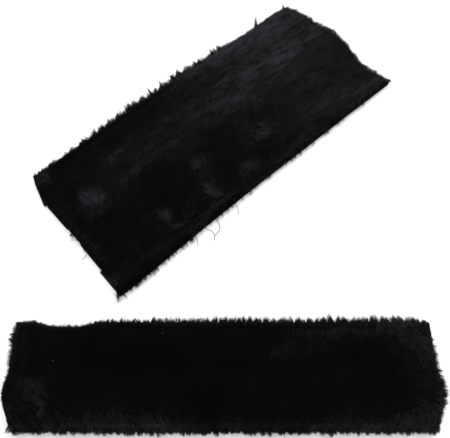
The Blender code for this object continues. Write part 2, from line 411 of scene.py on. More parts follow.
def makeSheetPiece(name, steps, shapeOf, thick, mat, offset):
    # a grid put into shape point by point, then given its thickness in millimetres
    nothingSelected()
    bpy.ops.mesh.primitive_grid_add(x_subdivisions=steps[0], y_subdivisions=steps[1], size=1,
                                    location=(0, 0, 0))
    obj = bpy.context.object
    obj.name = name
    obj.data.name = name
    co = np.zeros(len(obj.data.vertices) * 3)
    obj.data.vertices.foreach_get("co", co)
    co = co.reshape(-1, 3) + 0.5
    obj.data.vertices.foreach_set("co", shapeOf(co[:, 0], co[:, 1]).reshape(-1))
    obj.data.update()
    mod = obj.modifiers.new("thickness", "SOLIDIFY")
    mod.thickness = thick * mm
    mod.offset = offset
    mod.use_even_offset = False
    bpy.ops.object.modifier_apply(modifier=mod.name)
    bpy.ops.object.shade_smooth_by_angle(angle=math.radians(50))
    obj.data.materials.append(mat)
    return obj


# ---- cloth-side materials

def finishPattern(mat, bsdf, value, height, span, colors, bump, rough, shine):
    # the pattern's value as colour between dark and light, its height as bump
    ramp = addNode(mat, "ShaderNodeValToRGB", {"Fac": value})
    for end, position, color in zip(ramp.color_ramp.elements, span, colors):
        end.position = position
        end.color = hexColor(color)
    relief = addNode(mat, "ShaderNodeBump", {"Height": height, "Strength": bump[0], "Distance": bump[1] * mm})
    mat.node_tree.links.new(ramp.outputs["Color"], bsdf.inputs["Base Color"])
    mat.node_tree.links.new(relief.outputs["Normal"], bsdf.inputs["Normal"])
    bsdf.inputs["Roughness"].default_value = rough
    bsdf.inputs["Specular IOR Level"].default_value = shine
    return mat


def clothMaterial(name, colors, pitch, angle, rough, depth):
    # threads as fine bands over each other, with loose fuzz; pitch is the thread spacing in millimetres
    mat, bsdf = newMaterial(name)
    where = addNode(mat, "ShaderNodeTexCoord").outputs["Object"]
    turned = addNode(mat, "ShaderNodeMapping", {"Vector": where, "Rotation": (0, 0, math.radians(-angle))})
    bands = []
    for way, fineness in (("Y", 1.0), ("X", 0.7)):
        scale = 2 * math.pi / (20 * pitch * mm) * fineness
        ribs = {"Vector": turned.outputs["Vector"], "Scale": scale, "Distortion": 0.8,
                "Detail": 1.0, "Detail Scale": 2.0}
        wave = addNode(mat, "ShaderNodeTexWave", ribs, wave_type="BANDS", bands_direction=way)
        bands.append(wave.outputs["Fac"])
    loose = {"Vector": where, "Scale": 500.0, "Detail": 4.0}             # 2 mm loose ends
    fuzz = addNode(mat, "ShaderNodeTexNoise", loose).outputs["Fac"]
    grid = addNode(mat, "ShaderNodeMath", {0: bands[0], 1: bands[1]}, operation="MULTIPLY")
    both = addNode(mat, "ShaderNodeMath", {0: grid.outputs["Value"], 1: fuzz}, operation="MULTIPLY")
    value = both.outputs["Value"]
    # the colour is darker where the bump is low, in the hollows between threads: painted shade
    return finishPattern(mat, bsdf, value, value, (0, 0.6), colors, (0.6, depth), rough, 0.12)


def underfurMaterial():
    # the dense short fibre between the long ones, seen only as soft black depth
    mat, bsdf = newMaterial("dense underfur")
    where = addNode(mat, "ShaderNodeTexCoord").outputs["Object"]
    # 1.4 mm gaps between tufts, and 45 mm thicker and thinner places
    grain = {"Vector": where, "Scale": 700.0, "Detail": 4.0, "Roughness": 0.7}
    fine = addNode(mat, "ShaderNodeTexNoise", grain).outputs["Fac"]
    patch = {"Vector": where, "Scale": 22.0, "Detail": 2.0}
    broad = addNode(mat, "ShaderNodeTexNoise", patch).outputs["Fac"]
    both = addNode(mat, "ShaderNodeMath", {0: fine, 1: broad}, operation="MULTIPLY").outputs["Value"]
    # its colour is darker where the fine bump is low, in the gaps between tufts: painted shade
    return finishPattern(mat, bsdf, both, fine, (0.15, 0.45), ("030303", "0c0c0e"), (0.8, 1.0), 0.95, 0.03)


def plainMaterial(name, color, rough, shine):
    mat, bsdf = newMaterial(name)
    bsdf.inputs["Base Color"].default_value = hexColor(color)
    bsdf.inputs["Roughness"].default_value = rough
    bsdf.inputs["Specular IOR Level"].default_value = shine
    return mat


# knit: weft-knit polyester, dull charcoal, wales drawn 2.2 mm apart (the real ones, 1 mm, would not show);
# tape: woven nylon, its ribs drawn 1.6 mm apart, a little glossier. Each follows its own cover's length.
knitMat, wovenMat = {}, {}
for label, cover, angle in (("open", openCover, 41.2), ("closed", closedCover, 0.0)):
    knitColors, wovenColors = ("0b0b0c", "202023"), ("060607", "17171a")
    knitMat[cover] = clothMaterial("knitted polyester ground " + label, knitColors, 2.2, angle, 0.95, 0.4)
    wovenMat[cover] = clothMaterial("woven nylon tape " + label, wovenColors, 1.6, angle, 0.75, 0.2)
underfurMat = underfurMaterial()
# stiff drawn filament for the hooks: small bright glints; soft crimped filament for the loops: dull
hookMat = plainMaterial("nylon monofilament hooks", "141417", 0.35, 0.5)
loopMat = plainMaterial("brushed nylon loops", "0d0d0f", 0.8, 0.25)
threadMat = plainMaterial("spun polyester thread", "18181b", 0.7, 0.3)
strayMat = plainMaterial("stray black fibre", "0b0b0c", 0.6, 0.2)
lintMat = plainMaterial("pale lint", "77777e", 0.9, 0.2)


# ---- the open cover's cut shape, in millimetres along and across

openCloth = {
    "left": [(-96, -217), (-55, -216), (0, -215.5), (50, -216.5), (62, -216), (80, -213), (96, -208)],
    "right": [(-96, 220), (-90, 220), (-72, 216.5), (-56, 213.5), (-40, 212.5), (-20, 218.5), (-4, 223),
              (20, 224.5), (31, 221), (48, 216.5), (58, 218), (89, 210), (96, 207)],
    "near": [(-220, -93.5), (-178, -92.5), (-104, -90), (-25, -88.5), (56, -88.5), (145, -88.5),
             (220, -89)],
    "far": [(-220, 91), (-149, 92), (-60, 95), (50, 95), (100, 94), (136, 92), (184, 94), (220, 91)],
    "z": 2.3, "thick": 1.2,
}
# where the longest fringe hairs end
openFringe = {
    "far": [(-225, 97), (-200, 98.5), (-149, 101), (-86, 107.5), (-21, 109), (55, 108), (88, 108),
            (112, 102), (136, 99), (184, 102), (210, 98), (230, 94)],
    "near": [(-225, -102), (-178, -101), (-104, -98), (-25, -94.5), (60, -94), (220, -94)],
}
openFur = {"perSqMm": 1.28, "width": 0.42, "lyingWidth": 0.5, "under": 7.0, "underEdge": 2.6, "overhang": 3.5}
# where the nap lies flat, its hairs also made lighter there as painted sheen: along, across, half length, half
# width, amount
openSheen = [
    (152, 44, 104, 40, 0.56), (120, 92, 110, 13, 0.46), (20, 82, 60, 14, 0.20), (60, 40, 60, 30, 0.14),
    (-45, 34, 110, 32, 0.26), (-90, 54, 50, 10, 0.14), (118, -28, 110, 62, 0.26), (185, -72, 66, 24, 0.26),
    (42, 16, 17, 8, 0.24), (165, 34, 40, 9, 0.10), (90, 60, 40, 7, 0.10), (-95, 20, 50, 5, 0.20),
    (-60, 33, 40, 4, 0.18), (-30, 52, 50, 5, 0.14), (0, 26, 40, 5, 0.16), (-128, 52, 16, 6, 0.50),
    (-128, 14, 16, 5, 0.45), (-180, 17, 14, 13, 1.0), (-126, -46, 13, 10, 0.7), (-124, -63, 20, 12, 0.55),
    (-52, -27, 11, 9, 0.55), (-66, -57, 13, 11, 0.95), (-60, -44, 12, 9, 0.25), (-10, -71, 12, 8, 0.6),
    (33, -37, 19, 10, 0.7), (-95, -83, 48, 4, 0.42), (-165, -78, 22, 6, 0.3), (20, -85, 90, 5, 0.32),
    (20, 78, 16, 12, 0.2), (-216, -22, 4, 72, 0.5), (-210, 82, 10, 10, 0.6), (-211, -80, 7, 5, 0.7),
    (105, -62, 46, 12, 0.22), (126, 84, 112, 17, 0.36), (150, 66, 70, 10, 0.12), (175, -80, 50, 9, 0.16),
    (8, 19, 15, 14, 0.2), (-180, 3, 15, 7, 0.3)]
# where it is swirled: the same, with the twist in radians
openTwist = [
    (-178, 20, 15, 14, 1.9), (-122, -55, 18, 20, -1.7), (-52, -25, 13, 10, 1.5), (-62, -57, 15, 12, -1.3),
    (-6, -66, 12, 9, 1.3), (34, -37, 18, 11, -0.8), (-130, 47, 22, 9, -0.5), (20, 78, 16, 14, 0.8),
    (-207, -75, 12, 10, 1.2)]
openBlue = [(44, 15, 20, 9, 1.0)]
# where it parts and stands up to show its depth; its hairs there are also darker, painted shade
openDark = [(-110, -72, 24, 2.4, 0.9), (-70, 80, 100, 13, 0.3), (-95, -12, 50, 9, 0.25), (-6, -25, 12, 26, 0.2),
            (60, -70, 40, 7, 0.3), (60, 26, 22, 4, 0.2)]


def edge(key, value, grow=0.0):
    # an edge of the cloth; the pile's own far edge stands out past it by grow
    return along(openCloth[key], value) + (grow if key == "far" else 0.0)


def insideOpen(a, n):
    between = (n > edge("near", a)) & (n < edge("far", a, openFur["overhang"] * mm))
    return (a > edge("left", n)) & (a < edge("right", n)) & between


def openPlan(u, v, grow=0.0):
    # from shares along and across to the cut shape
    n = (v * 2 - 1) * 0.094
    for again in range(3):
        a = edge("left", n) + u * (edge("right", n) - edge("left", n))
        n = edge("near", a) + v * (edge("far", a, grow) - edge("near", a))
    return a, n


def openWave(a, n):
    # the cloth lies a little uneven between its two tapes
    middle = clamp((0.050 - abs(n)) / 0.02) * clamp((a + 0.195) / 0.02)
    return mm * middle * (1.0 + 0.9 * softNoise(a, n, 0.06, 5))


def underTop(a, n):
    # height of the dense underfur over the cloth
    f = openFur
    inEnds = np.minimum(a - edge("left", n), edge("right", n) - a)
    inFar = edge("far", a, f["overhang"] * mm) - n
    inNear = n - edge("near", a)
    rim = clamp(np.minimum(np.minimum(inEnds / 0.006, inFar / 0.013), inNear / 0.004))
    full = f["underEdge"] + (f["under"] - f["underEdge"]) * np.sqrt(1 - (1 - rim) ** 2)
    return mm * (full + 0.5 * softNoise(a, n, 0.012, 6) - 2.2 * spots(a, n, openDark[:1]))


foldStart, foldEnd = openCover.place(0, -0.008, 0), openCover.place(0, 0.008, 0)
overOpenFold = ("open_near", "open_far", tuple(foldStart), tuple(foldEnd))
openTop = (openCloth["z"] + openCloth["thick"]) * mm


def openClothShape(u, v):
    a, n = openPlan(u, v)
    return openCover.place(a, n, openCloth["z"] * mm + openWave(a, n))


openBacking = makeSheetPiece("open_cloth", (150, 60), openClothShape, openCloth["thick"],
                             knitMat[openCover], 1)
belongs(openBacking, overOpenFold, "knit_backing", "open_near_backing", "open_far_backing")


def openUnderShape(u, v):
    a, n = openPlan(u, v, openFur["overhang"] * mm)
    return openCover.place(a, n, openTop + openWave(a, n) + underTop(a, n))


openUnder = makeSheetPiece("open_underfur", (170, 74), openUnderShape, 2.4, underfurMat, -1)
belongs(openUnder, overOpenFold, "fur_pile", "open_near_pile", "open_far_pile")
print("open cover's cloth laid")


def openStrands(seed):
    rng = np.random.default_rng(seed)
    area = (-0.225, 0.228, -0.1, 0.1)
    spacing = mm / math.sqrt(openFur["perSqMm"])
    a, n = scatter(*area, spacing, seed)
    keep = insideOpen(a, n)
    rimA, rimN = scatter(*area, spacing * 1.1, seed + 7)                # the rims are thicker with hair
    atRim = (edge("far", rimA) - rimN < 0.005) | (rimN - edge("near", rimA) < 0.0045)
    atRim |= (edge("right", rimN) - rimA < 0.004) | (rimA - edge("left", rimN) < 0.004)
    atRim &= insideOpen(rimA, rimN)
    a, n = np.concatenate([a[keep], rimA[atRim]]), np.concatenate([n[keep], rimN[atRim]])
    count = len(a)
    dark = np.clip(spots(a, n, openDark), 0, 0.9)
    streak = softNoise(a * 0.22, n + 0.08 * a, 0.0045, 13)
    lie = (0.11 + spots(a, n, openSheen)) * (1 + 0.30 * streak)
    lie = clamp(lie + 0.05 * softNoise(a, n, 0.02, 16) + 0.07 * softNoise(a, n, 0.007, 15)) * (1 - dark)
    dice = nearestTuft(a, n, 0.011, seed + 1)[2]
    wa, wn, wisp = nearestTuft(a, n, 0.0028, seed + 2)
    ra, rn, rimDice = nearestTuft(a, n, 0.0055, seed + 3)
    farRim = clamp((n - edge("far", a) + 0.009) / 0.012)
    nearRim = clamp((edge("near", a) + 0.008 - n) / 0.008)
    leftRim = clamp((edge("left", n) + 0.007 - a) / 0.007)
    rightRim = clamp((a - edge("right", n) + 0.006) / 0.006)
    # direction of the nap from the long axis; the pile is finer and evener over the raw-ended half
    turn = 0.10 + 0.16 * softNoise(a, n, 0.055, 11) + 0.10 * softNoise(a, n, 0.016, 12) + spots(a, n, openTwist)
    calm = 1 - 0.5 * clamp((a - 0.02) / 0.06)
    turn += (0.22 * (dice[0] - 0.5) + 0.34 * (wisp[0] - 0.5)) * calm + rng.normal(0, 0.07, count)
    # how far a tip goes along the cloth, and how high over the underfur
    reach = mm * (1.2 + 14.0 * lie ** 0.8) * (0.8 + 0.25 * dice[1] + 0.3 * wisp[1])
    rise = 3.6 - 1.2 * lie + 0.7 * (dice[2] - 0.5) + 0.9 * (wisp[2] - 0.5) + rng.normal(0, 0.25, count)
    rise = mm * rise * (1 - 0.35 * farRim)
    lean = mm * 1.2 * (1 - lie)
    back = 2.0 * mm * leftRim * (0.5 + rimDice[1])
    tipA = a + reach * np.cos(turn) * (1 - leftRim) + lean * (dice[0] - 0.5) - back
    tipN = n + reach * np.sin(turn) + lean * (dice[2] - 0.5)
    gather = (0.35 + 0.3 * rng.random(count)) * calm
    tipA += (wa - a) * gather
    tipN += (wn - n) * gather
    # fringe of the far edge: pointed tufts, each leaning its own way, of very different lengths;
    # the rest make an even, shorter edge, and towards the raw end all is combed smooth
    wild = np.clip((0.085 - a) / 0.05, 0.25, 1)
    tufted = rng.random(count) < (0.35 + 0.6 * (rimDice[2] > 0.6)) * wild
    room = np.where(tufted, along(openFringe["far"], ra) - rn, along(openFringe["far"], a) - n)
    tuftShare = 0.45 + 0.85 * rimDice[1] ** 1.3 + 0.08 * (wisp[1] - 0.5)
    share = np.where(tufted, tuftShare, 0.40 + 0.30 * dice[1] + 0.16 * rng.random(count))
    spread = np.where(tufted, 0.9 * (rimDice[0] - 0.30), 0.5 * (dice[0] - 0.3) + 0.3 * (wisp[0] - 0.5))
    fringeA = np.where(tufted, ra, a) + spread * room * share + 0.5 * mm * rng.normal(size=count)
    fringeN = np.where(tufted, rn, n) + room * share + 0.3 * mm * rng.normal(size=count)
    k = farRim ** 0.7 * (0.75 + 0.25 * rng.random(count))
    tipA, tipN = towards(tipA, fringeA, k), towards(tipN, fringeN, k)
    over = mm * (3.0 * rimDice[1] ** 2 + 0.4 * rng.random(count))
    tipN = np.minimum(tipN, along(openFringe["far"], tipA) + over)
    # fringe of the near edge, short, more ragged at the hemmed end
    room = rn - along(openFringe["near"], ra)
    k = nearRim ** 0.6 * (0.55 + 0.45 * rng.random(count)) * (rimDice[2] > 0.25)
    share = 0.25 + 0.80 * rimDice[1] ** np.where(a < -0.1, 0.9, 1.5)
    fringeN = rn - room * share + 0.3 * mm * rng.normal(size=count)
    fringeA = ra + 0.7 * (rimDice[0] - 0.3) * room + 0.4 * mm * rng.normal(size=count)
    tipA, tipN = towards(tipA, fringeA, k), towards(tipN, fringeN, k)
    # the ends were cut with the fur on, so hair stops close past them
    over = tipA - (edge("right", tipN) + mm * (4.5 * rimDice[1] + 2 * rng.random(count)))
    tipA = tipA - np.maximum(over, 0)
    over = (along(openFringe["near"], a) - 0.4 * mm * rng.random(count)) - tipN
    tipN = tipN + np.maximum(over, 0)
    base = openTop + openWave(a, n)
    under = underTop(a, n)
    droop = clamp((edge("near", tipA) - tipN) / 0.004) * mm * (2.5 + 3.0 * rimDice[1])
    onCover = underTop(tipA, tipN) + openWave(tipA, tipN) + openTop
    pastIt = base + under * 0.55 + mm * 2.5 * (rimDice[2] - 0.4) - droop
    tipZ = np.where(insideOpen(tipA, tipN), onCover, pastIt)
    # round the rims hairs grow all the way down the cut side too
    rim = np.maximum.reduce([farRim, nearRim, leftRim, rightRim])
    low = np.clip(rim - 0.4, 0, 0.6) / 0.6 * rng.random(count) ** 1.2 * (under + 0.6 * mm)
    root = openCover.place(a, n, np.maximum(base + under - 2.0 * mm - low, base + 0.2 * mm))
    tip = openCover.place(tipA, tipN, np.maximum(tipZ + rise - low * 1.1, 0.6 * mm))
    bendZ = base + under + rise * 1.05 - low
    control = openCover.place(towards(a, tipA, 0.18), towards(n, tipN, 0.18), bendZ)
    width = hairWidths(rng, towards(openFur["width"], openFur["lyingWidth"], lie), count)
    # painted sheen: the flatter a hair lies, the lighter its colour; the noise and tuft terms are random tone
    shade = 0.05 + 0.80 * lie ** 1.1 + 0.10 * softNoise(a, n, 0.006, 14) + 0.16 * (wisp[2] - 0.5) * calm
    shade = hairShades(rng, shade, 0.07)
    shade = np.where(rng.random(count) < 0.5 * spots(a, n, openBlue), bluish, shade)
    bent = (lie > 0.62) | (farRim > 0.25) | (nearRim > 0.3) | (leftRim > 0.3) | (rightRim > 0.4)
    return [root, control, tip, width, shade], n, bent


# single tufts that stand out: from along, across to along, across
openTufts = [
    (88, 96, 91, 111), (36, 96, 38, 106), (-6, 97, -3, 111), (-95, 95, -92, 109), (10, 97, 13, 109),
    (-43, 96, -40, 107), (205, 91, 213, 105), (203, 90, 217, 96), (155, 94, 163, 112),
    (-206, 89, -203, 101), (-150, 93, -147, 102), (-120, 94, -116, 104), (60, 96, 64, 106),
    (-66, 96, -62, 109), (-213, 1, -218, 0), (-213, -25, -220, -26), (-213, -49, -220, -52),
    (-214, -88, -222, -98), (-205, -90, -207, -99), (-190, -90, -191, -98), (-172, -89, -174, -97),
    (-150, -89, -151, -96), (217, -86, 226, -90), (-212, 30, -218, 31), (-196, -89, -198, -98),
    (-182, -89, -183, -97), (-162, -88, -164, -96), (-141, -88, -142, -95), (-128, -88, -130, -94),
    (-117, -88, -117, -94), (-83, -86, -85, -92), (-185, 91, -182, 100), (-134, 94, -130, 104),
    (-107, 94, -104, 106), (-80, 95, -76, 108), (-54, 96, -50, 109), (-28, 96, -26, 111), (22, 97, 26, 109),
    (48, 96, 50, 109), (75, 96, 79, 108)]


def tuftStrands(seed, places):
    rng = np.random.default_rng(seed)
    each, tufts = 34, len(places)
    count = each * tufts
    a0, n0, a1, n1 = (np.repeat([p[k] for p in places], each) * mm for k in range(4))
    spread = rng.normal(size=(4, count)) * mm
    broad = np.repeat(0.6 + 1.6 * rng.random(tufts), each)     # some gather to a point, some stay loose
    move, lean = np.repeat(rng.normal(size=(2, tufts)) * 2.0 * mm, each, axis=1)
    share = (0.55 + 0.45 * rng.random(count) ** 0.7) * np.repeat(0.75 + 0.3 * rng.random(tufts), each)
    a1 = a0 + move + (a1 - a0 + lean) * share + 0.6 * broad * spread[2]
    n1 = n0 + (n1 - n0) * share + 0.5 * spread[3]
    a0, n0 = a0 + move + 1.7 * broad * spread[0], n0 + 1.7 * spread[1]
    z0 = openTop + (2.0 + 4.5 * rng.random(count)) * mm
    z1 = np.where(n1 < -0.06, 2.0 * mm, z0 + 1.0 * mm)        # the near ones droop over the cut side
    root, tip = openCover.place(a0, n0, z0), openCover.place(a1, n1, z1)
    control = openCover.place((a0 + a1) / 2, (n0 + n1) / 2, z0 + 0.8 * mm)
    width = np.full(count, openFur["width"] * mm)
    return [root, control, tip, width, np.clip(rng.normal(0.25, 0.12, count), 0, 0.9)]


growFur("open_near_tufts", "open_near", tuftStrands(71, [p for p in openTufts if p[1] < 0]))
growFur("open_far_tufts", "open_far", tuftStrands(72, [p for p in openTufts if p[1] > 0]))

strands, across, bent = openStrands(21)
middle = 0.007                                           # hairs this near the fold go in pieces of their own, fixed in place
halves = {"near": ("open_near", across <= -middle), "far": ("open_far", across >= middle),
          "fold": (overOpenFold, abs(across) < middle)}
for half, (body, side) in halves.items():
    for kind, part in (("bent", bent), ("straight", ~bent)):
        growInPieces("open_" + half + "_" + kind + "_fur", body, [s[side & part] for s in strands], kind)
print("open cover's fur grown:", len(across), "hairs,", int(bent.sum()), "of them lying")


# ---- the closed cover: a strip folded on itself, puffed up over the empty channel

closedCloth = {"halfLength": 213.0, "half": 94.0, "channel": 55.0, "crown": 12.0,
               "lowZ": 6.3, "thick": 1.2, "foldZ": 7.8, "tapeZ": 12.4}
closedFringe = {
    "far": [(-225, 100), (-195, 108), (-183, 100), (-150, 100), (-128, 107), (-20, 111.5), (185, 112),
            (200, 110), (225, 101)],
    "left": [(-10, -208), (0, -214), (22, -217.5), (51, -219.5), (76, -224), (110, -226)],
    "right": [(-10, 211), (0, 217), (32, 223.5), (51, 223), (76, 221), (96, 214), (110, 205)],
}
closedFur = {"perSqMm": 1.65, "width": 0.42, "under": 9.5, "underEdge": 2.6, "overhang": 7.0, "endOver": 2.5,
             "rimHairs": 11000}
# where the nap lies flat, its hairs also made lighter there as painted sheen: along, across, half length, half
# width, amount
closedSheen = [
    (192, 94, 44, 28, 0.80), (202, 56, 20, 34, 0.50), (199, 14, 20, 12, 0.42), (140, -2, 45, 9, 0.38),
    (-85, 2, 70, 12, 0.26), (40, 0, 70, 6, 0.16), (-190, 60, 60, 60, 0.10), (-189, 24, 12, 12, 0.62),
    (49, 63, 14, 8, 0.55), (70, 70, 11, 7, 0.4), (97, 70, 14, 7, 0.4), (104, 84, 34, 8, 0.28),
    (10, 78, 14, 6, 0.22), (118, 83, 50, 7, 0.30), (20, 99, 170, 8, 0.16), (-206, 50, 8, 70, 0.25)]
closedTwist = [(-188, 22, 15, 15, 1.8), (140, 8, 30, 12, 0.7), (46, 66, 15, 10, -0.9), (98, 68, 14, 10, 0.8),
               (195, 82, 25, 18, 1.2), (198, 18, 14, 12, -0.9)]
closedBald = [(-160, 92, 26, 7, 1.0)]                    # short smooth stretch of the long edge
# along the fold: how far the nap is combed flat and how much painted sheen its hairs get, in thousandths
closedFoldCombAndSheen = [
    (-213, 600), (-120, 1000), (-60, 900), (-20, 250), (60, 250), (100, 600), (130, 1000), (213, 1000)]


def archZ(n):
    # underside of the upper half, n in metres from the fold
    c = closedCloth
    t = clamp(n / (c["channel"] * mm))
    rising = (c["tapeZ"] - c["foldZ"]) * t * t * (3 - 2 * t)
    return (c["foldZ"] + rising + c["crown"] * np.sin(math.pi * t) ** 2) * mm


def corner(a, n):
    # the ends of the fold are rounded off
    near = clamp(1 - n / 0.024) ** 2
    return a * np.where(a < 0, 1 - 0.026 * near, 1 - 0.018 * near)


def closedFar(a):
    # the pile stands out past the cloth along the long edge, less where it is short
    short = np.exp(-((a / mm + 163) / 26) ** 4)
    return (closedCloth["half"] + closedFur["overhang"] * (1 - 0.7 * short)) * mm


def closedUnderTop(a, n):
    c, f = closedCloth, closedFur
    inEnds = (c["halfLength"] + f["endOver"]) * mm - abs(a)
    inFar = closedFar(a) - n
    rim = clamp(np.minimum(np.minimum(inEnds / 0.014, inFar / 0.018), (n + 0.004) / 0.012))
    full = f["underEdge"] + (f["under"] - f["underEdge"]) * np.sqrt(1 - (1 - rim) ** 2)
    flange = clamp((n - 0.045) / 0.03)                   # longer pile hides the step down to the tapes
    return mm * (full + 3.0 * flange * rim + 0.5 * softNoise(a, n, 0.014, 7))


def closedUnderShape(u, v):
    c = closedCloth
    a = (u * 2 - 1) * (c["halfLength"] + closedFur["endOver"]) * mm
    n = 0.0006 + v * (closedFar(a) - 0.0006)
    return closedCover.place(corner(a, n), n, archZ(n) + c["thick"] * mm + closedUnderTop(a, n))


closedUnder = makeSheetPiece("closed_upper_underfur", (170, 40), closedUnderShape, 3.2, underfurMat, -1)
belongs(closedUnder, "closed_upper", "fur_pile", "closed_upper_pile")


def closedLowShape(u, v):
    c = closedCloth
    a = (u * 2 - 1) * (c["halfLength"] + 0.5) * mm
    n = 0.0006 + v * (c["half"] * mm - 0.0006)
    return closedCover.place(corner(a, n), n, mm * (0.5 + 0.25 * softNoise(a, n, 0.01, 8)))


closedLow = makeSheetPiece("closed_lower_underfur", (140, 30), closedLowShape, 5.3, underfurMat, 1)
belongs(closedLow, "closed_lower", "fur_pile", "closed_lower_pile")

foldStart, foldEnd = closedCover.place(0, 0, foldZ - 0.006), closedCover.place(0, 0, foldZ + 0.006)
overClosedFold = ("closed_lower", "closed_upper", tuple(foldStart), tuple(foldEnd))
roll = {"radius": 6.0, "hairs": 13500}


def closedRollShape(u, v):
    # underfur round the outside of the fold, from the lower half up to the upper one
    a = (u * 2 - 1) * (closedCloth["halfLength"] + 0.3) * mm
    angle = math.radians(-86) + v * math.radians(172)
    radius = mm * (roll["radius"] + 0.4 * softNoise(a, v * 0.02, 0.01, 9))
    z = foldZ + radius * np.sin(angle) * np.where(angle < 0, 1.1, 1.0)
    return closedCover.place(corner(a, 0 * a), -radius * np.cos(angle), z)


closedRoll = makeSheetPiece("closed_fold_underfur", (170, 14), closedRollShape, 2.6, underfurMat, -1)
belongs(closedRoll, overClosedFold, "fur_pile")


def closedClothShape(u, v):
    # one strip: lower half, tight turn at the fold, arched upper half
    c = closedCloth
    a = (u * 2 - 1) * c["halfLength"] * mm
    s = (v * 2 - 1) * c["half"] * mm                     # below nought the lower half, above it the upper
    turnLength = 1.2 * mm
    n = np.maximum(abs(s) - turnLength, 0)
    angle = np.clip(s / turnLength, -1, 1) * math.pi / 2
    lowMid, highMid = (c["lowZ"] + c["thick"] / 2) * mm, (c["foldZ"] + c["thick"] / 2) * mm
    half = (highMid - lowMid) / 2
    turnZ = (lowMid + highMid) / 2 + half * np.sin(angle)
    upperZ = archZ(n) + c["thick"] / 2 * mm
    z = np.where(s < -turnLength, lowMid, np.where(s > turnLength, upperZ, turnZ))
    n = n + np.where(abs(s) < turnLength, -half * np.cos(angle) + 0.4 * mm, 0.4 * mm)
    return closedCover.place(corner(a, n), n, z)


closedFabric = makeSheetPiece("closed_cloth", (150, 96), closedClothShape, closedCloth["thick"],
                              knitMat[closedCover], 0)
turnStart, turnEnd = closedCover.place(0, 0, 0.0075), closedCover.place(0, 0, 0.0078)
overClosedTurn = ("closed_lower", "closed_upper", tuple(turnStart), tuple(turnEnd))
belongs(closedFabric, overClosedTurn, "knit_backing", "closed_lower_backing", "closed_upper_backing")
print("closed cover's body shaped")


